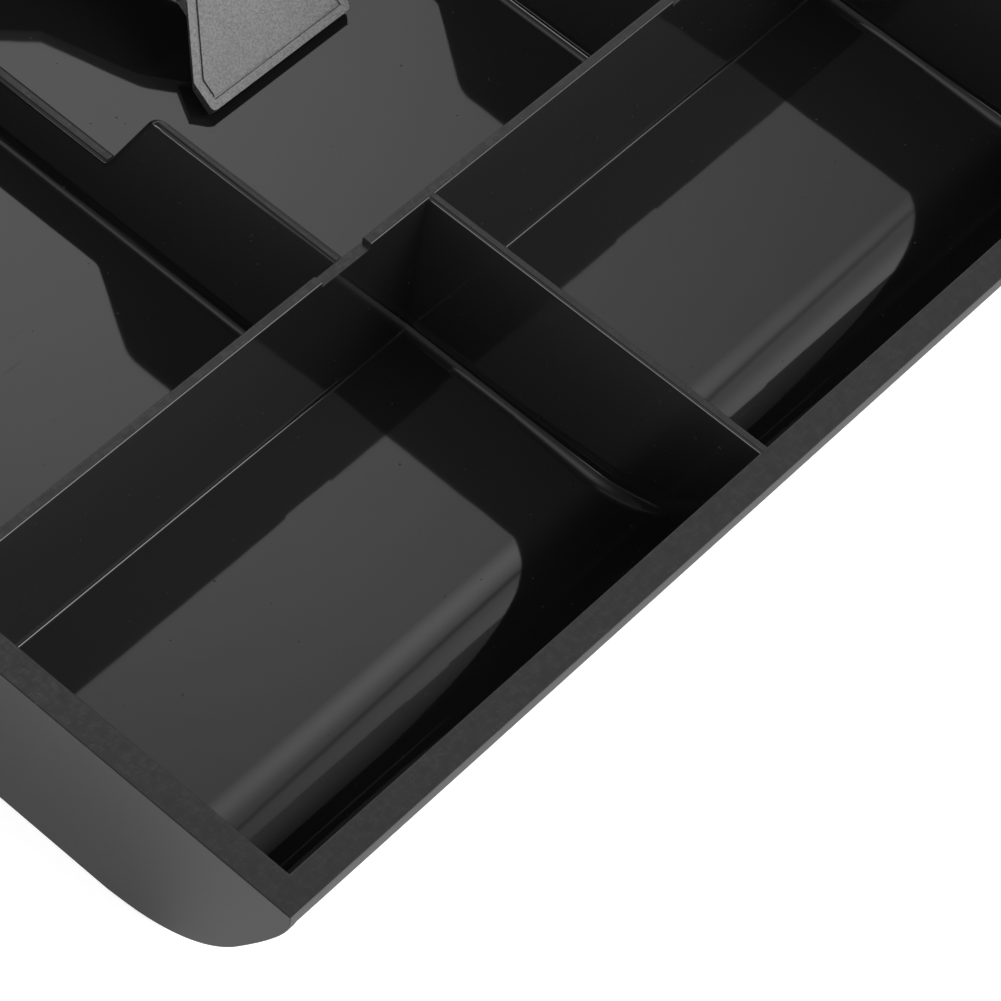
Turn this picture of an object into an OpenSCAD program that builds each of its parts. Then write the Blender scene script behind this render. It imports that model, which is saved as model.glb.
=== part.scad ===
// Cash drawer insert tray: coin cups in front, note bays behind, one spring clip in each bay.
// Millimetres, +Z up. Origin: centre of the tray's underside.

/* [Tray] */
// Width of the tray over its end skirts
tray_w = 405; // [360:1:460]
// Depth of the tray, front lip to back skirt
tray_d = 245; // [225:1:300]
// Height of the rim above the underside
tray_h = 31; // [28:0.5:45]
// Thickness of the floor and of the scooped front wall
floor_t = 2; // [1.6:0.1:3]
// Thickness of the moulded side and back walls
wall_t = 1.6; // [1.4:0.1:2]
// Width of the rim along the two ends
rim_side = 4.9; // [4.6:0.1:9]
// Width of the rim along the front
rim_front = 4.7; // [4.2:0.1:9]
// Width of the rim along the back
rim_back = 4.9; // [4.6:0.1:9]
// Thickness of the flat rim flange
rim_t = 2.5; // [2:0.1:3.5]
// Thickness of the skirts that hang from the rim
skirt_t = 1.4; // [1.2:0.1:1.6]
// How far each skirt leans in at its foot
skirt_draft = 1.1; // [0.4:0.1:1.4]
// Height at which the end skirts leave their curve
flare_z = 13; // [9:0.5:18]
// How far the skirts' front curve bulges back from the lip
flare_in = 0.6; // [0.3:0.1:1.5]
// Radius of the end skirts' curve below that height
skirt_r = 28.5; // [20:0.5:40]
// How far the front of that curve would stay behind the lip
skirt_in = 3.5; // [2:0.1:6]
// Rounding of the edges along the rim and the cross wall
edge_r = 0.3; // [0.2:0.05:0.6]
// Rounding of the coin dividers' top edges
divider_r = 0.6; // [0.3:0.05:0.7]
// Fillet where the dividers and side walls meet the floor
base_r = 2; // [1:0.1:3]

/* [Coin cups] */
// Number of coin cups
coin_cups = 4; // [3:1:5]
// Inside length of a cup from the front rim to the cross wall
cup_l = 62.4; // [50:0.1:72]
// Thickness of the coin dividers at the top
coin_div_t = 1.75; // [1.6:0.05:2.6]
// Lean of each wall and divider face, rim to floor
face_draft = 0.45; // [0.2:0.05:0.8]
// Radius of the finger scoop inside the cup
scoop_r = 25.4; // [20:0.1:40]

/* [Cross wall] */
// Thickness of the wall between cups and bays, at the top
cross_t = 1.7; // [1.3:0.05:2.6]
// Lean of each face of the cross wall, rim to floor
cross_draft = 0.8; // [0.4:0.1:1.2]
// Fillet at the cross wall's foot, inside the cups
cross_foot_r = 0.5; // [0.3:0.1:1.5]
// Width of the dip in the cross wall at each note divider
notch_w = 10.4; // [6:0.2:16]
// Depth of that dip
notch_d = 1; // [0.5:0.1:2]

/* [Note bays] */
// Number of note bays
note_bays = 5; // [3:1:5]
// Distance between neighbouring note dividers
note_pitch = 78.4; // [66:0.2:84]
// Thickness of the note dividers at the top
note_div_t = 1.75; // [1.6:0.05:2.6]
// How far the note dividers stay below the rim
note_div_drop = 0.8; // [0.5:0.1:3]
// Length of the tall front part of a note divider
note_high_l = 36; // [20:0.5:50]
// Length of the slope down to the low part
note_ramp_l = 7.3; // [6:0.1:20]
// Height of the low part above the bay floor
note_low_h = 12.2; // [8:0.2:20]
// Rounding at the top of that slope
note_crest_r = 3.6; // [1:0.2:5]
// Rounding at the foot of that slope
note_foot_r = 1; // [0.5:0.5:4]

/* [Note clips] */
// Width of the clip's pressing plate
pad_w = 31.6; // [28:0.2:42]
// Length of the pressing plate that keeps its full width
pad_side_l = 5.5; // [3:0.1:10]
// Length over which the plate narrows to the arm
pad_taper_l = 10.5; // [8:0.1:20]
// Length of the plate, up its slope
pad_l = 24.5; // [20:0.5:32]
// Rounding of the plate's two front corners
pad_corner_r = 1; // [0.5:0.1:3]
// Angle between the pressing plate and the floor
pad_tilt = 34; // [30:1:42]
// Height of the plate's lower edge above the bay floor
pad_gap = 0.5; // [0.4:0.1:4]
// Distance from the hinge axis to the plate's lower edge
clip_reach = 115.6; // [100:0.2:125]
// Width of the clip's arm
arm_w = 17.4; // [17:0.2:24]
// Length of the level part of the arm ahead of the hinge axis
arm_flat_l = 49.5; // [40:0.5:60]
// Thickness of the clip's plate and arm
clip_t = 1.6; // [1.4:0.1:2.4]
// Bend radius where the arm's slope changes, over the top
bend_r = 12; // [8:0.5:16]
// Width of the clip's hinge end
hinge_w = 25; // [24:0.2:30]
// Length of that wide end ahead of the hinge axis
hinge_l = 67; // [40:1:80]
// Depth of the arm's side ribs
rib_d = 2.6; // [2.4:0.1:4]
// Thickness of the side ribs
rib_t = 1.6; // [1.2:0.1:2]
// Height up the plate at which the ribs reach that depth
rib_s = 8; // [6:0.5:14]
// Width of the raised line round the plate
border_w = 1.5; // [1:0.1:2.5]
// Width of the groove inside that line
groove_w = 0.3; // [0.2:0.05:0.6]
// Depth of the groove
groove_d = 0.3; // [0.15:0.05:0.4]
// Sideways shift of each clip from its bay's middle
clip_shift = 1.4; // [0:0.1:3]

/* [Hinges] */
// Distance from the hinge axis to the back edge of the tray
hinge_back = 16; // [14:0.5:30]
// Height of the hinge axis above the rim
hinge_up = 0; // [-1:0.1:2]
// Diameter of the hinge pin
pin_d = 3; // [2.4:0.1:3.4]
// Running clearance round the pin, on the radius
pin_fit = 0.06; // [0.03:0.01:0.09]
// Radius of the clip's hinge barrels
barrel_r = 4; // [3.6:0.1:4.6]
// Side clearance between clip and bracket
side_gap = 0.35; // [0.25:0.05:0.6]
// Thickness of the bracket's ears
ear_t = 3; // [2.4:0.1:4]
// Radius of the rounded top of each ear
ear_r = 5; // [4.4:0.1:5.4]
// Length of the bracket's foot ahead of the hinge axis
foot_l = 11; // [10:0.5:16]
// Thickness of the bracket's foot
foot_t = 3.5; // [3:0.1:5]
// Depth of the cross web's top below the hinge axis
web_drop = 8.5; // [7:0.5:11]
// Thickness of the cross web
web_t = 2; // [1.6:0.1:2.4]
// Thickness of the clip's heel, which stops against the web
stop_t = 2.2; // [1.6:0.1:2.6]

/* [Springs] */
// Diameter of the spring wire
wire_d = 0.8; // [0.6:0.05:0.9]
// Mean radius of the coil
coil_r = 3.1; // [2.8:0.1:3.2]
// Number of full turns in the coil
coil_turns = 4; // [3:1:5]
// Length of the leg that lies on the arm
leg_arm_l = 16; // [12:0.5:22]
// Length of the leg behind the web
leg_web_l = 15; // [12:0.5:17]

/* [Screws] */
// Diameter of the screw shank
screw_d = 2.9; // [2.4:0.1:3.2]
// Diameter of the countersunk head
screw_head_d = 5.4; // [5:0.1:6]
// Clearance round the shank in the floor, on the radius
screw_fit = 0.2; // [0.1:0.05:0.3]

/* [Hidden] */

ARC_STEP = 9;            // most degrees between points on drawn arcs
ARC_CHORD = 1.2;         // longest chord of a drawn arc
TOUCH = 0.05;            // gap between parts that bear on each other
CUT = 1;                 // how far cutting shapes run past a face

// Tray, measured from its front lip
front_y = -tray_d / 2;
rim_z = tray_h;
flange_z = tray_h - rim_t;
inner_h = tray_h - edge_r - floor_t;
scoop_run = scoop_r <= inner_h ? scoop_r : sqrt(pow(scoop_r, 2) - pow(scoop_r - inner_h, 2));
scoop_end = -180 + asin(max(0, scoop_r - inner_h) / scoop_r);
scoop_y = rim_front + scoop_run;
scoop_z = floor_t + scoop_r;
scoop_out_r = scoop_r + floor_t;
skirt_y = skirt_in + skirt_r;
cross_y = rim_front + cup_l;
bay_y = cross_y + cross_t;
bay_end_y = tray_d - rim_back;
inner_w = tray_w - 2 * rim_side;
cup_w = (inner_w - (coin_cups - 1) * coin_div_t) / coin_cups;
cup_pitch = cup_w + coin_div_t;

// Note dividers
high_z = tray_h - note_div_drop;
low_z = floor_t + note_low_h;
ramp_y = bay_y + note_high_l;
low_y = ramp_y + note_ramp_l;

// Hinge and clip, measured from the hinge axis
hinge_y = tray_d - hinge_back;
hinge_z = tray_h + hinge_up;
arm_top = coil_r - wire_d / 2 - TOUCH;
pad_z = floor_t + pad_gap + clip_t * cos(pad_tilt) - hinge_z;
knee = [pad_l * cos(pad_tilt) - clip_reach, pad_z + pad_l * sin(pad_tilt)];
arm_rise = min(pad_tilt - 1, atan2(arm_top - knee[1], -arm_flat_l - knee[0]));
level_y = knee[0] + (arm_top - knee[1]) / tan(arm_rise);
taper_a = atan((pad_w - arm_w) / 2 / pad_taper_l);
taper_end = pad_side_l + pad_taper_l;
face_end = pad_l - 2 * border_w;
widen_l = (hinge_w - arm_w) / 2 / tan(30);
coil_l = coil_turns * wire_d * 1.06 + wire_d;
window_w = coil_l + 2 * side_gap;
window_l = coil_r + wire_d / 2 + side_gap;
bracket_w = hinge_w + 2 * side_gap + 2 * ear_t;
foot_z = floor_t + foot_t;
foot_back = bay_end_y - face_draft - base_r - side_gap - hinge_y;
foot_front = -foot_l;
web_back = coil_r - wire_d / 2 - TOUCH;
stop_y = web_back - web_t - TOUCH;
stop_d = web_drop + 2.5;   // the heel reaches 2.5 below the web's top
screw_y = [foot_front + 4, foot_back - 4];
screw_top = foot_z - 0.6;
pin_over = 0.5;

function clip_x(i) = (i - (note_bays + 1) / 2) * note_pitch
    + (i == 1 ? -outer_extra : i == note_bays ? outer_extra : 0) + clip_shift;
// The two outer bays take what the inner ones leave, so their middles lie a little further out
outer_extra = ((inner_w - (note_bays - 2) * note_pitch - note_div_t) / 2 - note_pitch + note_div_t) / 2;

// Points of an arc round c, from angle a to angle b
function arc(c, r, a, b) =
    let (n = max(2, ceil(abs(b - a) / min(ARC_STEP, ARC_CHORD / r * 180 / PI))))
    [for (k = [0:n]) c + r * [cos(a + (b - a) * k / n), sin(a + (b - a) * k / n)]];

// Point at t on the curve that starts at a, leans towards b and ends at c
function bend(a, b, c, t) = pow(1 - t, 2) * a + 2 * t * (1 - t) * b + pow(t, 2) * c;

// One half of the section of a moulded hollow: rounded top edge, leaning face, filleted foot
function half_section(half, top_r) = concat(
    [[half + top_r, rim_z + CUT]],
    arc([half + top_r, rim_z - top_r], top_r, 90, 180),
    arc([half - face_draft - base_r, floor_t + base_r], base_r, 0, -90)
);
function flip(points) = [for (k = [len(points) - 1:-1:0]) [-points[k][0], points[k][1]]];

// Extrudes a drawing of Y against Z along X, or of X against Z along Y
module along_x(l) { translate([-l / 2, 0, 0]) rotate([90, 0, 90]) linear_extrude(l) children(); }
module along_y(l) { translate([0, l, 0]) rotate([90, 0, 0]) linear_extrude(l) children(); }

// ---- Tray ----

module hollow_across(w, left_r, right_r) {
    along_y(tray_d) polygon(concat(half_section(w / 2, right_r), flip(half_section(w / 2, left_r))));
}

module cup(i) {
    translate([(i - (coin_cups + 1) / 2) * cup_pitch, 0, 0]) intersection() {
        hollow_across(cup_w, i == 1 ? edge_r : divider_r, i == coin_cups ? edge_r : divider_r);
        along_x(cup_w + 4 * divider_r) polygon(concat(
            [[cross_y + edge_r, rim_z + CUT]],
            arc([cross_y + edge_r, rim_z - edge_r], edge_r, 90, 180),
            arc([cross_y - cross_draft - cross_foot_r, floor_t + cross_foot_r], cross_foot_r, 0, -90),
            arc([scoop_y, scoop_z], scoop_r, -90, scoop_end),
            arc([rim_front - edge_r, rim_z - edge_r], edge_r, 0, 90),
            [[rim_front - edge_r, rim_z + CUT]]
        ));
    }
}

module note_well() {
    intersection() {
        hollow_across(inner_w, edge_r, edge_r);
        along_x(inner_w + 4 * edge_r) polygon(concat(
            [[bay_end_y + edge_r, rim_z + CUT]],
            arc([bay_end_y + edge_r, rim_z - edge_r], edge_r, 90, 180),
            arc([bay_end_y - face_draft - base_r, floor_t + base_r], base_r, 0, -90),
            arc([bay_y + cross_draft + base_r, floor_t + base_r], base_r, -90, -180),
            arc([bay_y - edge_r, rim_z - edge_r], edge_r, 0, 90),
            [[bay_y - edge_r, rim_z + CUT]]
        ));
    }
}

// Side view of the end skirts: front lip, curve, flat underside, back skirt
module end_outline() {
    rise_a = asin((skirt_r - flare_z) / skirt_r);
    foot = [skirt_y - skirt_r * cos(rise_a), flare_z];
    rise = (foot[0] - flare_in) / tan(rise_a);
    bulge = [flare_in, min(flare_z + rise, flange_z)];
    lip = [0, flange_z];
    polygon(concat(
        [[0, rim_z]],
        [for (t = [0:0.125:1]) bend(lip, bulge, foot, t)],
        arc([skirt_y, skirt_r], skirt_r, rise_a - 180, -90),
        [[tray_d - skirt_draft, 0], [tray_d, rim_z]]
    ));
}

// Side view of the scooped wall's outer face, where it comes further forward than the skirts
module scoop_outline() {
    start = asin(max(0, scoop_z - flange_z) / scoop_out_r);
    polygon(concat(
        [[scoop_y, flange_z], [scoop_y - scoop_out_r * cos(start), flange_z]],
        arc([scoop_y, scoop_z], scoop_out_r, start - 180, -90)
    ));
}

module tray_block() {
    intersection() {
        union() {
            along_x(tray_w) end_outline();
            along_x(inner_w + 2 * wall_t - 2 * face_draft) scoop_outline();
        }
        along_y(tray_d) polygon([
            [-tray_w / 2, rim_z],
            [-tray_w / 2 + skirt_draft, 0],
            [tray_w / 2 - skirt_draft, 0],
            [tray_w / 2, rim_z]
        ]);
    }
}

// Open space under the front flange, ahead of the scooped wall, between the end skirts
module front_undercut() {
    start = asin(max(0, scoop_z - flange_z) / scoop_out_r);
    along_x(tray_w - 2 * skirt_t - 2 * skirt_draft) polygon(concat(
        [[-CUT, flange_z], [scoop_y - scoop_out_r * cos(start), flange_z]],
        arc([scoop_y, scoop_z], scoop_out_r, -180 + start, -90),
        [[scoop_y, -CUT], [-CUT, -CUT]]
    ));
}

// Channels under the rim, between each skirt and the wall of the pan
module end_channel() {
    along_y(tray_d - skirt_t) polygon([
        [tray_w / 2 - skirt_t, flange_z],
        [tray_w / 2 - skirt_t - skirt_draft, -CUT],
        [inner_w / 2 + wall_t - face_draft, -CUT],
        [inner_w / 2 + wall_t, flange_z]
    ]);
}

module back_channel() {
    along_x(tray_w - 2 * skirt_t - 2 * skirt_draft) polygon([
        [tray_d - skirt_t, flange_z],
        [tray_d - skirt_t - skirt_draft, -CUT],
        [bay_end_y + wall_t - face_draft, -CUT],
        [bay_end_y + wall_t, flange_z]
    ]);
}

module note_divider() {
    half = note_div_t / 2;
    base = half + face_draft;
    side = concat(
        [[base + base_r, floor_t - CUT]],
        arc([base + base_r, floor_t + base_r], base_r, -90, -180),
        [[half, rim_z]]
    );
    lean = atan((high_z - low_z) / note_ramp_l);
    crest_in = note_crest_r * tan(lean / 2);
    foot_in = note_foot_r * tan(lean / 2);
    intersection() {
        along_y(tray_d) polygon(concat(side, flip(side)));
        along_x(4 * base + 4 * base_r) polygon(concat(
            [[bay_y - cross_t / 2, 0], [bay_y - cross_t / 2, high_z]],
            arc([ramp_y - crest_in, high_z - note_crest_r], note_crest_r, 90, 90 - lean),
            arc([low_y + foot_in, low_z + note_foot_r], note_foot_r, -90 - lean, -90),
            [[bay_end_y + wall_t / 2, low_z], [bay_end_y + wall_t / 2, 0]]
        ));
    }
}

module tray() {
    color([0.06, 0.06, 0.065]) translate([0, front_y, 0]) difference() {
        union() {
            difference() {
                tray_block();
                for (i = [1:coin_cups]) cup(i);
                note_well();
                front_undercut();
                back_channel();
                end_channel();
                mirror([1, 0, 0]) end_channel();
            }
            for (i = [1:note_bays - 1]) translate([(i - note_bays / 2) * note_pitch, 0, 0]) note_divider();
        }
        for (i = [1:note_bays - 1]) {
            translate([(i - note_bays / 2) * note_pitch - notch_w / 2, cross_y - CUT, rim_z - notch_d])
                cube([notch_w, CUT + cross_t + 0.1, notch_d + CUT]);
        }
        for (i = [1:note_bays], y = screw_y) translate([clip_x(i), hinge_y + y, 0]) screw_hole();
    }
}

// Countersunk hole for a bracket screw, open at the underside
module screw_hole() {
    translate([0, 0, -CUT]) cylinder(h = floor_t + 2 * CUT, r = screw_d / 2 + screw_fit, $fn = 48);
    head_h = (screw_head_d - screw_d) / 2;
    cylinder(h = head_h, r1 = screw_head_d / 2 + screw_fit, r2 = screw_d / 2 + screw_fit, $fn = 48);
    translate([0, 0, -CUT]) cylinder(h = CUT, r = screw_head_d / 2 + screw_fit, $fn = 48);
}

// ---- Note clips ----

// Rounded bend at p where a top surface rising at angle a goes on at angle b, d under that surface
function turn(p, a, b, d) =
    let (back = bend_r * tan((a - b) / 2))
    arc(p + [bend_r * sin(a) - back * cos(a), -bend_r * cos(a) - back * sin(a)], bend_r - d, 90 + a, 90 + b);

// Side view of plate and arm from distance s up the plate, at depth d under the top surface
function clip_top(s, d) = concat(
    [[-clip_reach + s * cos(pad_tilt) + d * sin(pad_tilt), pad_z + s * sin(pad_tilt) - d * cos(pad_tilt)]],
    turn(knee, pad_tilt, arm_rise, d),
    turn([level_y, arm_top], arm_rise, 0, d),
    [[0, arm_top - d]]
);
function along_plate(s) = -clip_reach + s * cos(pad_tilt);

// Plate, arm and ribs seen from the side
module clip_side() {
    under = clip_top(rib_s, rib_d);
    polygon(concat(
        clip_top(0, 0),
        [for (k = [len(under) - 1:-1:0]) under[k]],
        [clip_top(0, clip_t)[0]]
    ));
}

// Everything under the skin of plate and arm, ahead of the distance back from the hinge axis
module under_skin(back) {
    intersection() {
        polygon(concat(
            clip_top(-2 * clip_t, clip_t),
            [[0, pad_z - bend_r], [-clip_reach - bend_r, pad_z - bend_r]]
        ));
        translate([-2 * clip_reach, -clip_reach]) square([2 * clip_reach - back, 2 * clip_reach]);
    }
}

// The clip seen from above: full width at the foot, narrowing to the arm, wider again at the hinge
module clip_plan() {
    half = pad_w / 2;
    right = concat(
        arc([half - pad_corner_r, -clip_reach + pad_corner_r], pad_corner_r, -90, 0),
        [[half, along_plate(pad_side_l)], [arm_w / 2, along_plate(taper_end)]],
        [[arm_w / 2, -hinge_l - widen_l], [hinge_w / 2, -hinge_l], [hinge_w / 2, 0]]
    );
    polygon(concat(right, flip(right)));
}

// The plate's face, in from its outline by w, X against the distance up the plate
module plate_face(w) {
    x1 = pad_w / 2 - w;
    x2 = arm_w / 2 - w;
    back = w * tan(taper_a / 2);
    top = face_end + border_w - w;
    polygon([
        [-x1, w], [x1, w], [x1, pad_side_l - back], [x2, taper_end - back], [x2, top],
        [-x2, top], [-x2, taper_end - back], [-x1, pad_side_l - back]
    ]);
}

module note_clip(i) {
    side_w = pad_w / 2;
    color([0.2, 0.2, 0.205]) translate([clip_x(i), front_y + hinge_y, hinge_z]) difference() {
        union() {
            difference() {
                intersection() {
                    along_x(pad_w + 2 * CUT) clip_side();
                    translate([0, 0, pad_z - bend_r]) linear_extrude(2 * bend_r - pad_z) clip_plan();
                }
                along_x(arm_w - 2 * rib_t) under_skin(0);
                for (side = [-1, 1])
                    translate([side * (arm_w + side_w) / 2, 0, 0]) along_x(side_w) under_skin(hinge_l + widen_l);
            }
            rotate([0, 90, 0]) cylinder(h = hinge_w, r = barrel_r, center = true, $fn = 64);
            translate([-hinge_w / 2, stop_y - stop_t, -stop_d]) cube([hinge_w, stop_t, stop_d]);
        }
        rotate([0, 90, 0]) cylinder(h = hinge_w + 2 * CUT, r = pin_d / 2 + pin_fit, center = true, $fn = 64);
        translate([-window_w / 2, -window_l, -barrel_r - CUT])
            cube([window_w, window_l + barrel_r + CUT, 2 * (barrel_r + CUT)]);
        translate([0, -clip_reach, pad_z]) rotate([pad_tilt, 0, 0]) translate([0, 0, -groove_d]) difference() {
            linear_extrude(groove_d + CUT) plate_face(border_w);
            translate([0, 0, -CUT]) linear_extrude(groove_d + 3 * CUT) plate_face(border_w + groove_w);
        }
    }
}

// ---- Hinges ----

module hinge_bracket(i) {
    ear_x = hinge_w / 2 + side_gap;
    axis_h = hinge_z - floor_t;
    color([0.09, 0.09, 0.095]) translate([clip_x(i), front_y + hinge_y, floor_t]) difference() {
        union() {
            translate([-bracket_w / 2, foot_front, 0]) cube([bracket_w, foot_l, foot_t]);
            for (side = [-1, 1]) translate([side * (ear_x + ear_t / 2), 0, 0]) {
                along_x(ear_t) polygon([
                    [foot_front + 1, foot_t / 2], [foot_back - 1, foot_t / 2], [ear_r, axis_h], [-ear_r, axis_h]
                ]);
                translate([0, 0, axis_h]) rotate([0, 90, 0])
                    cylinder(h = ear_t, r = ear_r, center = true, $fn = 64);
            }
            translate([-ear_x - ear_t / 2, web_back - web_t, foot_t / 2])
                cube([2 * ear_x + ear_t, web_t, axis_h - web_drop - foot_t / 2]);
        }
        translate([0, 0, axis_h]) rotate([0, 90, 0])
            cylinder(h = bracket_w + 2 * CUT, r = pin_d / 2, center = true, $fn = 64);
        for (y = screw_y) translate([0, y, -CUT]) cylinder(h = screw_top - floor_t + CUT, r = screw_d / 2, $fn = 48);
    }
}

module hinge_pin(i) {
    head_t = 0.8;
    color([0.72, 0.73, 0.75]) translate([clip_x(i), front_y + hinge_y, hinge_z]) {
        rotate([0, 90, 0]) cylinder(h = bracket_w + 2 * pin_over, r = pin_d / 2, center = true, $fn = 64);
        translate([bracket_w / 2, 0, 0]) rotate([0, 90, 0]) cylinder(h = head_t, r = pin_d / 2 + 0.9, $fn = 64);
    }
}

// ---- Springs ----

// Middle line of the spring: leg on the arm, coil round the pin, leg down behind the web
coil_step = 30;
coil_end = 360 * coil_turns + 90;
coil_x = (coil_l - wire_d) / 2;
function coil_point(a) = [-coil_x + 2 * coil_x * a / coil_end, coil_r * sin(a), coil_r * cos(a)];
spring_path = concat(
    [coil_point(0) + [0, -leg_arm_l, 0], coil_point(0) + [0, -leg_arm_l / 2, 0]],
    [for (a = [0:coil_step:coil_end]) coil_point(a)],
    [coil_point(coil_end) - [0, 0, leg_web_l / 2], coil_point(coil_end) - [0, 0, leg_web_l]]
);
function unit(v) = v / norm(v);
function heading(k) =
    let (a = max(0, k - 1), b = min(len(spring_path) - 1, k + 1)) unit(spring_path[b] - spring_path[a]);
wire_sides = 8;

module clip_spring(i) {
    last = len(spring_path) - 1;
    rings = [
        for (k = [0:last])
            let (t = heading(k), u = unit([1, 0, 0] - t * t[0]), v = cross(t, u))
            for (j = [0:wire_sides - 1])
                spring_path[k] + wire_d / 2 * (cos(360 * j / wire_sides) * u + sin(360 * j / wire_sides) * v)
    ];
    skin = [
        for (k = [0:last - 1], j = [0:wire_sides - 1])
            let (a = k * wire_sides, b = a + wire_sides, n = (j + 1) % wire_sides) [a + j, b + j, b + n, a + n]
    ];
    start = [for (j = [0:wire_sides - 1]) j];
    end = [for (j = [wire_sides - 1:-1:0]) last * wire_sides + j];
    color([0.7, 0.71, 0.73]) translate([clip_x(i), front_y + hinge_y, hinge_z])
        polyhedron(points = rings, faces = concat(skin, [start, end]), convexity = 8);
}

// ---- Screws ----

module bracket_screw() {
    head_h = (screw_head_d - screw_d) / 2;
    slot = 0.8;
    difference() {
        union() {
            cylinder(h = screw_top, r = screw_d / 2, $fn = 48);
            cylinder(h = head_h, r1 = screw_head_d / 2, r2 = screw_d / 2, $fn = 48);
        }
        for (a = [0, 90]) rotate([0, 0, a]) translate([-screw_head_d / 4, -slot / 2, -CUT])
            cube([screw_head_d / 2, slot, CUT + 0.9]);
    }
}

module bracket_screws() {
    color([0.72, 0.73, 0.75])
        for (i = [1:note_bays], y = screw_y) translate([clip_x(i), front_y + hinge_y + y, 0]) bracket_screw();
}

tray();
for (i = [1:note_bays]) {
    note_clip(i);
    hinge_bracket(i);
    hinge_pin(i);
    clip_spring(i);
}
bracket_screws();
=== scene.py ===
"""Looks of a cash drawer insert tray: glossy black pan, sprung note clips, hinges. Metres, +Z up."""

import math

import bmesh
import bpy
from mathutils import Matrix, Vector


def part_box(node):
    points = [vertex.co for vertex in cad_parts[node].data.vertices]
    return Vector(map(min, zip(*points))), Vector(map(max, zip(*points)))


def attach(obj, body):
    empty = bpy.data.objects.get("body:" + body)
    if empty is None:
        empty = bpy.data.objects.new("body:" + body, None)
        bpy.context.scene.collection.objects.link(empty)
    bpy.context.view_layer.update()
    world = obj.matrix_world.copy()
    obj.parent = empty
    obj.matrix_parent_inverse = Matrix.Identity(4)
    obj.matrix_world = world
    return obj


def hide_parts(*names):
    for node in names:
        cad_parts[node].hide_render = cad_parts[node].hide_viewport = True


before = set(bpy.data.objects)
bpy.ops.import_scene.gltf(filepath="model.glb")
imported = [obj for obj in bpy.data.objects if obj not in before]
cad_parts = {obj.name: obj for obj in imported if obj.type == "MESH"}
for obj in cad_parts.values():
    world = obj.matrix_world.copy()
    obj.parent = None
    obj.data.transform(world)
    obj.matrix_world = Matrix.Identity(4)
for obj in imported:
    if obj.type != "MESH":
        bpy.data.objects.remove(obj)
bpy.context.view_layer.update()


# ---- Tray ----
# One injection moulding in black ABS: cups, bays, dividers, rim and skirts in a single shell.
# The pan is polished in the mould and mirrors the room; the rim and the divider tops are duller.

MM = 0.001
TRAY_LOW, TRAY_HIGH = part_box("tray")
RIM_Z = TRAY_HIGH.z
FLOOR_Z = 2.0 * MM
SIDE_RIM = 4.9 * MM
FRONT_RIM = 4.7 * MM
CROSS_WALL_Y = TRAY_LOW.y + 68.8 * MM
BACK_WALL_Y = TRAY_HIGH.y - SIDE_RIM

# Every wall and divider ends higher than this, and every fillet round a floor ends lower.
TOPS_Z = FLOOR_Z + 5 * MM

# The coin cups: four across, their side walls leaning outwards by a degree up to the rounded tops.
CUP_COUNT = 4
CUP_TOP_Z = RIM_Z - 0.6 * MM
CUP_DIVIDER = 1.75 * MM
CUP_WALL_LEAN = 0.01705
CUP_ROW_X = TRAY_HIGH.x - SIDE_RIM
CUP_WIDTH = (2 * CUP_ROW_X - (CUP_COUNT - 1) * CUP_DIVIDER) / CUP_COUNT

# The finger scoop at the front of each cup is a quarter of a round trough.
SCOOP_R = 25.4 * MM
SCOOP_Y = TRAY_LOW.y + FRONT_RIM + SCOOP_R
SCOOP_Z = FLOOR_Z + SCOOP_R

SAME_PLACE = 0.002 * MM
SAME_PLANE = math.radians(0.4)
SMOOTH_ANGLE = math.radians(24)


def merged_copy(node_name):
    """A CAD node's mesh as a bmesh with its loose triangles joined into flat faces."""
    bm = bmesh.new()
    bm.from_mesh(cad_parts[node_name].data)
    bmesh.ops.remove_doubles(bm, verts=bm.verts, dist=SAME_PLACE)
    bmesh.ops.dissolve_limit(bm, angle_limit=SAME_PLANE, verts=bm.verts, edges=bm.edges)
    return bm


def sharp_edges(bm, where=lambda middle: True):
    """Outside corners too sharp to shade smoothly, where the edge's middle passes the test."""
    found = []
    for edge in bm.edges:
        if len(edge.link_faces) == 2 and edge.calc_face_angle_signed(0) > SMOOTH_ANGLE:
            if where((edge.verts[0].co + edge.verts[1].co) / 2):
                found.append(edge)
    return found


def round_edges(bm, edges, width, segments):
    bmesh.ops.bevel(
        bm,
        geom=edges,
        offset=width,
        offset_type="OFFSET",
        affect="EDGES",
        segments=segments,
        profile=0.5,
        material=-1,
        clamp_overlap=False,
        loop_slide=True,
    )


def piece(name, bm, body, material, replaces, smooth=SMOOTH_ANGLE):
    """Turns a bmesh into a finished object that rides on a body, in place of a CAD node."""
    for edge in bm.edges:
        edge.smooth = len(edge.link_faces) == 2 and edge.calc_face_angle(0) < smooth
    for face in bm.faces:
        face.smooth = True
    mesh = bpy.data.meshes.new(name)
    bm.to_mesh(mesh)
    bm.free()
    obj = bpy.data.objects.new(name, mesh)
    bpy.context.scene.collection.objects.link(obj)
    mesh.materials.append(material)
    normals = obj.modifiers.new("Even shading", "WEIGHTED_NORMAL")
    normals.keep_sharp = True
    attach(obj, body)
    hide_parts(replaces)


class Value:
    """A number or vector on a socket. Arithmetic on it adds Math nodes to its material."""

    def __init__(self, finish, socket):
        self.finish = finish
        self.socket = socket

    def maths(self, operation, *operands):
        return self.finish.node("Math", {"operation": operation}, dict(enumerate(operands)))

    def __add__(self, other):
        return self.maths("ADD", self, other)

    def __sub__(self, other):
        return self.maths("SUBTRACT", self, other)

    def __rsub__(self, other):
        return self.maths("SUBTRACT", other, self)

    def __mul__(self, other):
        return self.maths("MULTIPLY", self, other)

    __radd__ = __add__
    __rmul__ = __mul__


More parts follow.
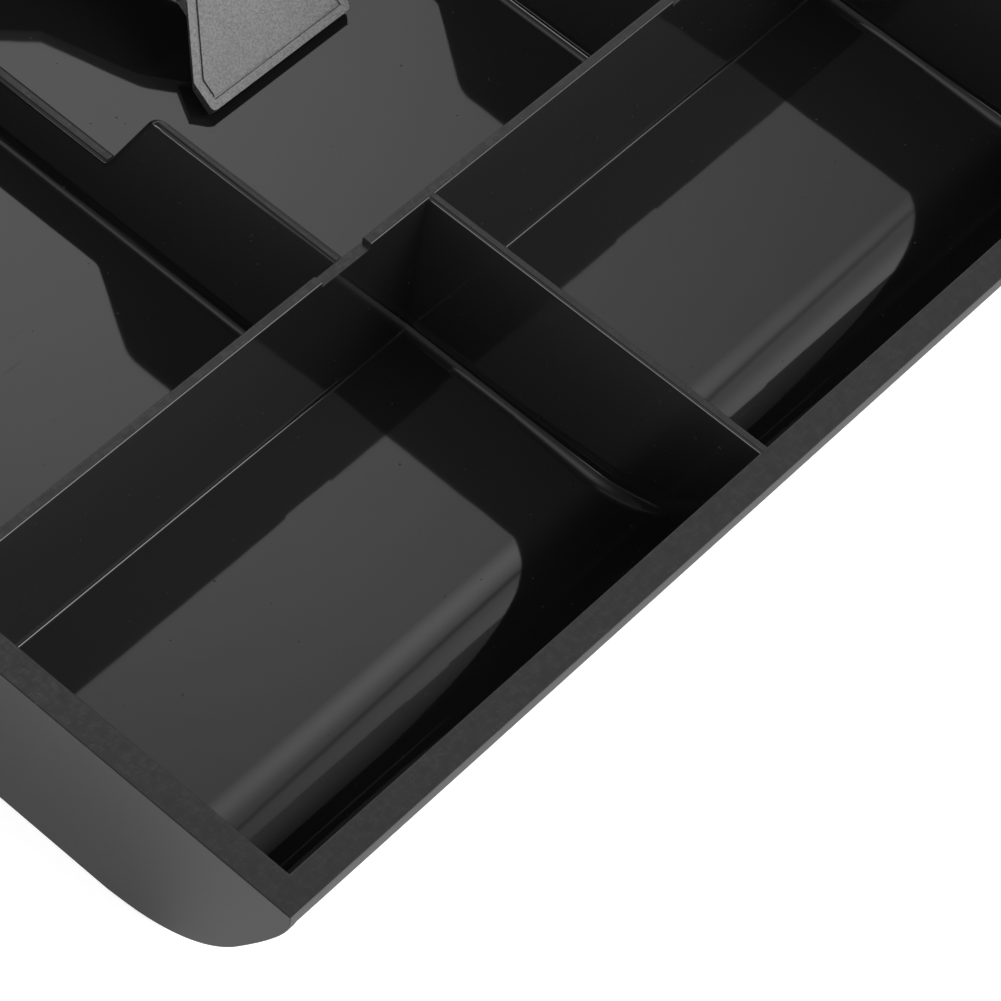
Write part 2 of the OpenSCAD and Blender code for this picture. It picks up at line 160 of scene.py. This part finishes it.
class Nodes:
    """A node tree that nodes are added to, one call each."""

    def __init__(self, tree):
        self.tree = tree

    def node(self, kind, settings=None, inputs=None, output=0):
        """Adds a node: its settings first, then the values or links of its sockets."""
        made = self.tree.nodes.new("ShaderNode" + kind)
        for key, value in (settings or {}).items():
            setattr(made, key, value)
        for key, value in (inputs or {}).items():
            if isinstance(value, Value):
                self.tree.links.new(value.socket, made.inputs[key])
            else:
                made.inputs[key].default_value = value
        return Value(self, made.outputs[output])

    def span(self, value, low, high, out_low=0.0, out_high=1.0, way="LINEAR"):
        """The value's place between low and high, as a number from out_low to out_high."""
        sockets = {"Value": value, "From Min": low, "From Max": high, "To Min": out_low, "To Max": out_high}
        return self.node("MapRange", {"clamp": True, "interpolation_type": way}, sockets)


class Finish(Nodes):
    """A material with one Principled shader, wired in Object coordinates."""

    def __init__(self, name, **constants):
        self.material = bpy.data.materials.new(name)
        self.material.use_nodes = True
        super().__init__(self.material.node_tree)
        self.shader = next(n for n in self.tree.nodes if n.type == "BSDF_PRINCIPLED")
        for socket, value in constants.items():
            self.shader.inputs[socket.replace("_", " ")].default_value = value
        self.place = self.node("TexCoord", output="Object")

    def noise(self, scale, detail=2.0, roughness=0.5, stretch=None):
        """Noise with grains of about 1/scale metres; a stretch below 1 draws them out along an axis."""
        place = self.place
        if stretch:
            place = self.node("Mapping", {}, {"Vector": place, "Scale": stretch})
        sockets = {"Vector": place, "Scale": scale, "Detail": detail, "Roughness": roughness}
        return self.node("TexNoise", {}, sockets)

    def tint(self, factor, low, high):
        """A colour between two, by the factor. A Mix node's colours are its sockets 6 and 7."""
        sockets = {0: factor, 6: (*low, 1.0), 7: (*high, 1.0)}
        return self.node("Mix", {"data_type": "RGBA"}, sockets, output=2)

    def feed(self, **links):
        for socket, value in links.items():
            self.tree.links.new(value.socket, self.shader.inputs[socket.replace("_", " ")])

    def bump(self, height, depth):
        self.feed(Normal=self.node("Bump", {}, {"Height": height, "Distance": depth, "Strength": 1.0}))


def polished_abs():
    """Black ABS: mirror-like in the pan, satin and faintly streaked on the level tops."""
    plastic = Finish("Black ABS", Specular_IOR_Level=0.5, IOR=1.52)
    height = plastic.node("SeparateXYZ", {}, {"Vector": plastic.place}, output="Z")
    facing = plastic.node("NewGeometry", output="Normal")
    upwards = plastic.node("SeparateXYZ", {}, {"Vector": facing}, output="Z")
    top = plastic.span(height, TOPS_Z, TOPS_Z + MM) * plastic.span(upwards, 0.96, 0.995)
    cloud = plastic.noise(35.0, 3.0, 0.55)
    lengthwise = plastic.noise(1300.0, 5.0, 0.75, stretch=(0.4, 1.0, 1.0))
    crosswise = plastic.noise(1300.0, 5.0, 0.75, stretch=(1.0, 0.4, 1.0))
    grain = lengthwise + crosswise
    streaks = plastic.span(grain, 0.8, 1.2)
    dust = plastic.span(plastic.noise(1100.0, 1.0, 0.4), 0.775, 0.80)
    scratch = plastic.noise(45.0, 1.0, 0.4, stretch=(1.0, -18.0, 1.0))
    hairline = plastic.span(scratch, 0.78, 0.80)
    tone = plastic.span(streaks * top + dust * 2.0, 0.0, 2.0)
    polish = plastic.span(cloud, 0.3, 0.7, 0.04, 0.06)
    dulled_top = top * (0.34 - streaks * 0.16)
    marks = dust * 0.3 + hairline * 0.12
    plastic.feed(
        Base_Color=plastic.tint(tone, (0.0085, 0.0085, 0.0085), (0.02, 0.02, 0.02)),
        Roughness=polish + dulled_top + marks,
    )
    plastic.bump(grain * top + cloud * 2.0, 0.02 * MM)
    return plastic.material


POLISHED_ABS = polished_abs()


def cup_sides():
    """The x of every cup's two side walls at the top, each with the direction into the cup."""
    for cup in range(CUP_COUNT):
        left = -CUP_ROW_X + cup * (CUP_WIDTH + CUP_DIVIDER)
        yield left, 1.0
        yield left + CUP_WIDTH, -1.0


# A cut this far inside each cup wall keeps the wall's foot from bending the shading of the scoop.
SHADING_CUT = 3.6 * MM


def is_scoop_facet(face):
    """Whether a face is one of the long facets of a scoop or of the upright wall above it."""
    middle = face.calc_center_median()
    in_scoop = FLOOR_Z - 0.1 * MM < middle.z < CUP_TOP_Z and middle.y < SCOOP_Y
    return in_scoop and abs(face.normal.x) < 0.01 and face.normal.y > -0.2 and face.normal.z > -0.1


def cut_scoops(bm):
    """Cuts the scoops' long facets across beside each cup wall."""
    for wall_x, inwards in cup_sides():
        faces = [face for face in bm.faces if is_scoop_facet(face)]
        edges = {edge for face in faces for edge in face.edges}
        verts = {vert for face in faces for vert in face.verts}
        bmesh.ops.bisect_plane(
            bm,
            geom=[*faces, *edges, *verts],
            dist=0.001 * MM,
            plane_co=(wall_x + inwards * SHADING_CUT, 0, 0),
            plane_no=(1, 0, 0),
        )


# Where the edges to be rounded lie: the end skirts curve down within the first 32 mm from the
# front, the outline is the outermost millimetre, and the end walls stand in the last 20 mm.
SKIRT_CURVE_Y = TRAY_LOW.y + 32 * MM
SKIRT_REACH = 1.3 * MM
OUTLINE_REACH = 1.0 * MM
NOTE_DIVIDERS_X = TRAY_HIGH.x - 20 * MM
JUST_INSIDE = 0.01 * MM
JUST_BEHIND = 0.2 * MM
JUST_ABOVE = 0.1 * MM
NOTE_DIVIDER_CREST = 0.75 * MM
OUTLINE_EDGE = 0.18 * MM


def on_outline(middle):
    """The rim's outer outline and the curved front edges of the end skirts."""
    beside = min(middle.x - TRAY_LOW.x, TRAY_HIGH.x - middle.x)
    along = min(middle.y - TRAY_LOW.y, TRAY_HIGH.y - middle.y)
    on_skirt = middle.y < SKIRT_CURVE_Y and beside < SKIRT_REACH and middle.z > JUST_ABOVE
    on_rim = middle.z > RIM_Z - JUST_INSIDE and min(beside, along) < OUTLINE_REACH
    return on_skirt or on_rim


def on_note_divider(middle):
    """The top edges of the note dividers, from the cross wall to the back wall."""
    between = CROSS_WALL_Y + JUST_BEHIND < middle.y < BACK_WALL_Y
    return between and abs(middle.x) < NOTE_DIVIDERS_X and middle.z > TOPS_Z


tray = merged_copy("tray")
round_edges(tray, sharp_edges(tray, on_note_divider), NOTE_DIVIDER_CREST, 5)
round_edges(tray, sharp_edges(tray, on_outline), OUTLINE_EDGE, 3)
cut_scoops(tray)
piece("tray_shell", tray, "tray_body", POLISHED_ABS, "tray")


# The fillet at the foot of each cup wall: tight on the flat floor, widest where the scoop begins,
# and run out up the scoop. It is sunk a little into both faces, so that no gap shows beside it.
FOOT_FLOOR_R = 2.05 * MM
FOOT_SCOOP_R = 3.0 * MM
FOOT_END_R = 0.3 * MM
FOOT_FLOOR_RUN = 14 * MM
FOOT_FLOOR_STEPS = 6
FOOT_SCOOP_STEP = 3
FOOT_SCOOP_END = 87
FOOT_FADE_START = 45
FOOT_SECTION_STEP = 9
FOOT_BACKING = 0.3 * MM
FOOT_SUNK = 0.012 * MM


def foot_stations():
    """Along a cup wall's foot: the place, the direction square to the cup's surface, the radius."""
    for step in range(FOOT_FLOOR_STEPS):
        ease = step / FOOT_FLOOR_STEPS
        place = Vector((0, SCOOP_Y + FOOT_FLOOR_RUN * (1 - ease), FLOOR_Z))
        yield place, Vector((0, 0, 1)), FOOT_FLOOR_R + (FOOT_SCOOP_R - FOOT_FLOOR_R) * ease
    for degrees in range(0, FOOT_SCOOP_END + 1, FOOT_SCOOP_STEP):
        turn = math.radians(degrees)
        up = Vector((0, math.sin(turn), math.cos(turn)))
        fade = max(0.0, (degrees - FOOT_FADE_START) / (90 - FOOT_FADE_START))
        place = Vector((0, SCOOP_Y, SCOOP_Z)) - SCOOP_R * up
        yield place, up, FOOT_SCOOP_R + (FOOT_END_R - FOOT_SCOOP_R) * fade


def foot_section(radius):
    """The fillet's section, as distances out from the wall and up from the cup's surface."""
    yield -FOOT_BACKING, radius
    yield -FOOT_BACKING, -FOOT_BACKING
    yield radius, -FOOT_BACKING
    for degrees in range(90, -1, -FOOT_SECTION_STEP):
        turn = math.radians(degrees)
        yield radius * (1 - math.cos(turn)), radius * (1 - math.sin(turn))


def foot_ring(bm, wall_x, inwards, place, up, radius):
    """The edges of one section of the fillet, standing at its place against the leaning wall."""
    corners = []
    for out, rise in foot_section(radius):
        point = place + up * (rise - FOOT_SUNK)
        lean = CUP_WALL_LEAN * (CUP_TOP_Z - point.z)
        point.x = wall_x + inwards * (out + lean - FOOT_SUNK)
        corners.append(bm.verts.new(point))
    return [bm.edges.new(pair) for pair in zip(corners, corners[1:] + corners[:1])]


feet = bmesh.new()
for wall_x, inwards in cup_sides():
    rings = [foot_ring(feet, wall_x, inwards, *station) for station in foot_stations()]
    for ring, after in zip(rings, rings[1:]):
        bmesh.ops.bridge_loops(feet, edges=ring + after)
    bmesh.ops.edgeloop_fill(feet, edges=rings[0])
    bmesh.ops.edgeloop_fill(feet, edges=rings[-1])
bmesh.ops.recalc_face_normals(feet, faces=feet.faces)
piece("cup_feet", feet, "tray_body", POLISHED_ABS, "tray")


# ---- Note clips ----
# A pressing plate on a bent, ribbed arm, moulded in black ABS with a fine matte texture.
# Each one turns on its pin and stops with its heel against the bracket's web.

CLIPS = range(1, 6)
CLIP_EDGE = 0.1 * MM


def matte_abs():
    """Spark-eroded texture: a broad soft sheen broken by fine dark grains."""
    plastic = Finish("Matte ABS", Specular_IOR_Level=0.72, IOR=1.52)
    grain = plastic.noise(2700.0, 3.0, 0.65)
    cloud = plastic.noise(60.0, 3.0, 0.6)
    plastic.feed(
        Base_Color=plastic.tint(plastic.span(grain, 0.35, 0.6), (0.02, 0.02, 0.0205), (0.11, 0.11, 0.111)),
        Roughness=plastic.span(cloud, 0.3, 0.7, 0.36, 0.44),
    )
    plastic.bump(grain, 0.035 * MM)
    return plastic.material


MATTE_ABS = matte_abs()
for number in CLIPS:
    node_name = f"note_clip_{number}"
    clip = merged_copy(node_name)
    round_edges(clip, sharp_edges(clip), CLIP_EDGE, 2)
    piece(f"clip_moulding_{number}", clip, f"clip_{number}_body", MATTE_ABS, node_name)


# ---- Hinge brackets ----
# A moulded foot with two ears and a cross web, screwed down from under the tray.
# Black ABS with the plain satin finish of a part that nobody touches.

BRACKET_EDGE = 0.25 * MM


def satin_abs():
    plastic = Finish("Satin ABS", Specular_IOR_Level=0.5, IOR=1.52)
    cloud = plastic.noise(120.0, 3.0, 0.6)
    plastic.feed(
        Base_Color=plastic.tint(cloud, (0.01, 0.01, 0.0105), (0.016, 0.016, 0.0165)),
        Roughness=plastic.span(cloud, 0.3, 0.7, 0.24, 0.34),
    )
    plastic.bump(cloud, 0.02 * MM)
    return plastic.material


SATIN_ABS = satin_abs()
for number in CLIPS:
    node_name = f"hinge_bracket_{number}"
    bracket = merged_copy(node_name)
    round_edges(bracket, sharp_edges(bracket), BRACKET_EDGE, 2)
    piece(f"bracket_moulding_{number}", bracket, "tray_body", SATIN_ABS, node_name)


# ---- Hinge pins ----
# Drawn steel rod with a rolled head, pressed through the bracket's ears.
# The pin stays in the bracket and the clip's barrels turn on it.

PIN_EDGE = 0.15 * MM


def drawn_steel(name, colour, roughness):
    """Bright steel with fine lines along x, the way a pin is drawn."""
    steel = Finish(name, Metallic=1.0)
    lines = steel.noise(400.0, 3.0, 0.6, stretch=(0.05, 1.0, 1.0))
    steel.feed(
        Base_Color=steel.tint(lines, [0.8 * c for c in colour], colour),
        Roughness=steel.span(lines, 0.3, 0.7, roughness - 0.06, roughness + 0.06),
    )
    steel.bump(lines, 0.004 * MM)
    return steel.material


PIN_STEEL = drawn_steel("Drawn steel", (0.6, 0.61, 0.63), 0.26)
for number in CLIPS:
    node_name = f"hinge_pin_{number}"
    pin = merged_copy(node_name)
    round_edges(pin, sharp_edges(pin), PIN_EDGE, 2)
    piece(f"pin_rod_{number}", pin, "tray_body", PIN_STEEL, node_name)


# ---- Springs ----
# Torsion springs in round wire: the coil sits round the pin between the clip's barrels.
# One leg lies on the clip's arm and moves with it, the other hangs behind the bracket's web.

WIRE_R = 0.4 * MM
COIL_R = 3.1 * MM

# Angles along the wire from the arm's leg, in degrees. The first quarter turn rides with the clip.
COIL_START = 0
RIDING_END = 90
COIL_END = 4 * 360 + 90
COIL_STEP = 10

# Wire this thin shades smoothly round every bend, and is sharp only at its cut ends.
WIRE_SMOOTH = math.radians(69)


def spring_wire(number, first, last, legs):
    """Round wire through the coil's angles from first to last, with the straight legs asked for."""
    low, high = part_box(f"clip_spring_{number}")
    pin_y = high.y - COIL_R - WIRE_R
    pin_z = high.z - COIL_R - WIRE_R
    start_x, end_x = low.x + WIRE_R, high.x - WIRE_R
    route = []
    if "arm" in legs:
        route.append((start_x, low.y, pin_z + COIL_R))
    for degrees in range(first, last + 1, COIL_STEP):
        turn = math.radians(degrees)
        x = start_x + (end_x - start_x) * degrees / COIL_END
        route.append((x, pin_y + COIL_R * math.sin(turn), pin_z + COIL_R * math.cos(turn)))
    if "web" in legs:
        route.append((end_x, pin_y + COIL_R, low.z))
    curve = bpy.data.curves.new("wire", "CURVE")
    curve.dimensions = "3D"
    curve.bevel_depth = WIRE_R
    curve.bevel_resolution = 2
    curve.use_fill_caps = True
    spline = curve.splines.new("POLY")
    spline.points.add(len(route) - 1)
    for point, place in zip(spline.points, route):
        point.co = (*place, 1.0)
    holder = bpy.data.objects.new("wire", curve)
    drawn = bpy.data.meshes.new_from_object(holder)
    bpy.data.objects.remove(holder)
    bm = bmesh.new()
    bm.from_mesh(drawn)
    bmesh.ops.remove_doubles(bm, verts=bm.verts, dist=SAME_PLACE)
    return bm


WIRE_STEEL = drawn_steel("Spring wire", (0.5, 0.51, 0.53), 0.3)
for number in CLIPS:
    clip_body = f"clip_{number}_body"
    node_name = f"clip_spring_{number}"
    leg = spring_wire(number, COIL_START, RIDING_END, ["arm"])
    coil = spring_wire(number, RIDING_END, COIL_END, ["web"])
    piece(f"spring_leg_{number}", leg, clip_body, WIRE_STEEL, node_name, WIRE_SMOOTH)
    piece(f"spring_coil_{number}", coil, "tray_body", WIRE_STEEL, node_name, WIRE_SMOOTH)


# ---- Bracket screws ----
# Countersunk steel screws, two to a bracket, driven up through the floor.
# They are zinc plated, a little duller and paler than the pins.

SCREW_EDGE = 0.06 * MM

ZINC = drawn_steel("Zinc plate", (0.62, 0.63, 0.64), 0.34)
screws = merged_copy("bracket_screws")
round_edges(screws, sharp_edges(screws), SCREW_EDGE, 2)
piece("screw_set", screws, "tray_body", ZINC, "bracket_screws")


# ---- Table, light and camera ----
# A pale table in a soft room: a window behind on the right, a key in front, a second window and
# a strip low on the left, and a fill behind the camera. A long lens over the front left corner.

TABLE_HALF = 4.0
CAMERA_LIFT = 0.65
GLOSS_LIFT = 0.03


def pale_table():
    """A pale matt sheet, lifted towards white where the camera, gloss or glass looks at it."""
    sheet = Finish("Pale table", Roughness=0.9, Emission_Strength=1.0)
    camera_ray = sheet.node("LightPath", output="Is Camera Ray")
    glossy_ray = sheet.node("LightPath", output="Is Glossy Ray")
    glass_ray = sheet.node("LightPath", output="Is Transmission Ray")
    sheet.feed(
        Base_Color=sheet.tint(sheet.noise(3.0), (0.7, 0.7, 0.7), (0.72, 0.72, 0.72)),
        Emission_Color=camera_ray * CAMERA_LIFT + (glossy_ray + glass_ray) * GLOSS_LIFT,
    )
    return sheet.material


table_sheet = bmesh.new()
bmesh.ops.create_grid(table_sheet, x_segments=1, y_segments=1, size=TABLE_HALF)
table_mesh = bpy.data.meshes.new("table")
table_sheet.to_mesh(table_mesh)
table_sheet.free()
table_mesh.materials.append(pale_table())
table = bpy.data.objects.new("table", table_mesh)
bpy.context.scene.collection.objects.link(table)

# Soft lights: azimuth and elevation in degrees, half width in degrees, strength at the middle.
SOFT_BOXES = {
    "key": (-69, 36, 11, 10.1),
    "right wall": (-31, 53, 15, 0.6),
    "left window": (149, 53, 9, 0.9),
    "front glow": (-55, 24, 12, 1.4),
    "fill": (-160, 32, 18, 1.9),
}
WINDOW_PARTS = {
    "panes": (41.5, 50, 5.5, 1.1),
    "glow": (42, 46, 20, 0.62),
    "foot": (49, 27, 6.5, 0.85),
}

# The window ends at its head. The glazing bar takes light away along the circle square to its pole.
WINDOW_HEAD = (58, 65)
GLAZING_BAR = (44, 41, 9, -0.5)
GLAZING_BAR_POLE = (21.97, -46.62)
GLAZING_BAR_WIDTH = 0.8

# The room's own level, and what is added below the elevations where each band has faded out.
ROOM_LEVEL = 0.08
HORIZON_LEVEL = 0.9
HORIZON_FADE = (8, 14)
LEFT_STRIP_LEVEL = 4.4
LEFT_STRIP_FADE = (14, 19)
LEFT_STRIP_REACH = (-0.7, -0.3)

world = bpy.data.worlds.new("Studio")
bpy.context.scene.world = world
world.use_nodes = True
sky = Nodes(world.node_tree)
towards = sky.node("TexCoord", output="Generated")
across = sky.node("SeparateXYZ", {}, {"Vector": towards}, output="X")
upward = sky.node("SeparateXYZ", {}, {"Vector": towards}, output="Z")


def direction(azimuth, elevation):
    turn, rise = math.radians(azimuth), math.radians(elevation)
    return Vector((math.cos(rise) * math.cos(turn), math.cos(rise) * math.sin(turn), math.sin(rise)))


def nearness(azimuth, elevation):
    """One in that direction, falling to minus one in the opposite direction."""
    inputs = {0: towards, 1: direction(azimuth, elevation)}
    return sky.node("VectorMath", {"operation": "DOT_PRODUCT"}, inputs, output="Value")


def soft_box(azimuth, elevation, half_width, strength):
    """Light that falls off softly round one direction."""
    falloff = 1.0 / math.radians(half_width) ** 2
    away = nearness(azimuth, elevation) - 1.0
    return strength * sky.node("Math", {"operation": "EXPONENT"}, {0: away * falloff})


def soft_line(pole, half_width):
    """One along the great circle square to the pole, falling off softly on both sides."""
    falloff = -0.5 / math.radians(half_width) ** 2
    beside = nearness(*pole)
    return sky.node("Math", {"operation": "EXPONENT"}, {0: beside * beside * falloff})


def fade_above(elevations, level):
    """The level below the first elevation, fading to nothing at the second."""
    low, high = (math.sin(math.radians(elevation)) for elevation in elevations)
    return sky.span(upward, low, high, level, 0.0, "SMOOTHSTEP")


horizon = fade_above(HORIZON_FADE, HORIZON_LEVEL)
left_side = sky.span(across, *LEFT_STRIP_REACH, 1.0, 0.0, "SMOOTHSTEP")
left_strip = fade_above(LEFT_STRIP_FADE, LEFT_STRIP_LEVEL) * left_side
window = sum(soft_box(*part) for part in WINDOW_PARTS.values()) * fade_above(WINDOW_HEAD, 1.0)
glazing_bar = soft_box(*GLAZING_BAR) * soft_line(GLAZING_BAR_POLE, GLAZING_BAR_WIDTH)
level = ROOM_LEVEL + horizon + left_strip + window + glazing_bar
for box in SOFT_BOXES.values():
    level = level + soft_box(*box)
background = world.node_tree.nodes["Background"]
world.node_tree.links.new(level.socket, background.inputs["Strength"])
background.inputs["Color"].default_value = (1.0, 1.0, 1.0, 1.0)

# The camera looks along its azimuth and elevation, then rolls about its own axis. Degrees.
CAMERA_PLACE = Vector((-0.45793, -0.29304, 0.54367))
CAMERA_AZIMUTH = 30.989
CAMERA_ELEVATION = -53.52
CAMERA_ROLL = 12.481
CAMERA_LENS = 166.877

camera_data = bpy.data.cameras.new("Camera")
camera_data.sensor_width = 36.0
camera_data.lens = CAMERA_LENS
camera = bpy.data.objects.new("Camera", camera_data)
bpy.context.scene.collection.objects.link(camera)
heading = Matrix.Rotation(math.radians(CAMERA_AZIMUTH - 90), 4, "Z")
pitch = Matrix.Rotation(math.radians(CAMERA_ELEVATION + 90), 4, "X")
roll = Matrix.Rotation(math.radians(CAMERA_ROLL), 4, "Z")
camera.matrix_world = Matrix.Translation(CAMERA_PLACE) @ heading @ pitch @ roll
bpy.context.scene.camera = camera
bpy.context.scene.view_settings.view_transform = "Standard"
